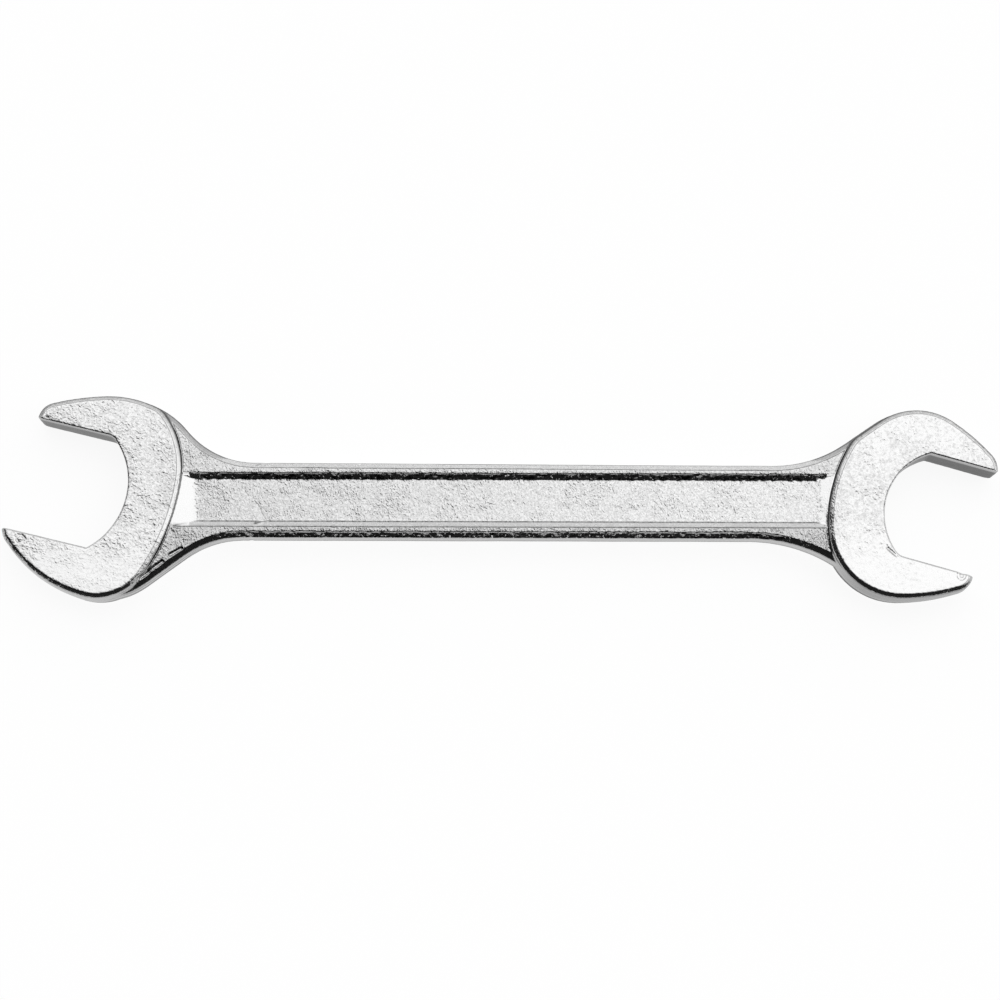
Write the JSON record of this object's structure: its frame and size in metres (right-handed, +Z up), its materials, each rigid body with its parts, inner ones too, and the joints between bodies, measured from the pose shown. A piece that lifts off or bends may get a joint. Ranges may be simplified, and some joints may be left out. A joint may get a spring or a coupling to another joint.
{
  "type": "open end wrench",
  "caption": "Flat forged open end wrench with an angled open jaw at each end and a sunk panel along its shank.",
  "frame": {"origin": "on the surface the wrench lies on, under the middle of its length and of its width", "axes": "+X runs along the shank towards the small jaw, +Y across the shank in the plane of the jaws, +Z up through the thickness of the heads"},
  "size_m": [0.1658, 0.0346, 0.0065],
  "materials": {
    "plated_steel": "bright nickel and chrome plating over a hammered forged surface"
  },
  "bodies": {
    "root": {"wrench_forging": "plated_steel"}
  },
  "joints": []
}
